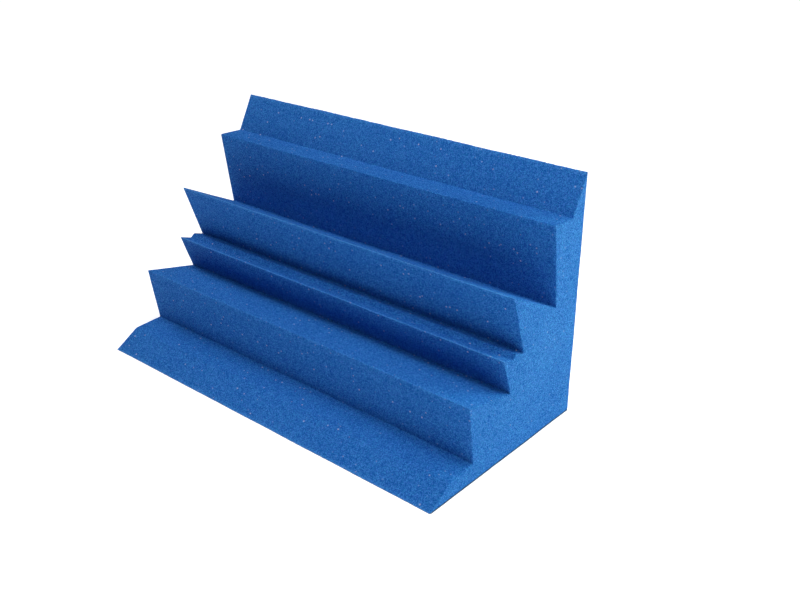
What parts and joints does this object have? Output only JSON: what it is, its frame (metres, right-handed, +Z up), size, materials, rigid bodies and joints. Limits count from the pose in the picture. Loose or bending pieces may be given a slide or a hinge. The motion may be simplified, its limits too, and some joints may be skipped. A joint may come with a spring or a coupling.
{
  "type": "acoustic foam corner block",
  "caption": "Solid open-cell foam block with a flat back and bottom that fill a room corner; its ridged zig-zag front absorbs low-frequency sound.",
  "frame": {"origin": "middle of the bounding box's bottom, which is on the flat bottom face", "axes": "+Z up, X along the block, +Y towards the flat back face; the ridged side looks along -Y"},
  "size_m": [0.6, 0.293, 0.331],
  "materials": {
    "blue_foam": "matte"
  },
  "bodies": {
    "root": {"foam_block": "blue_foam"}
  },
  "joints": []
}
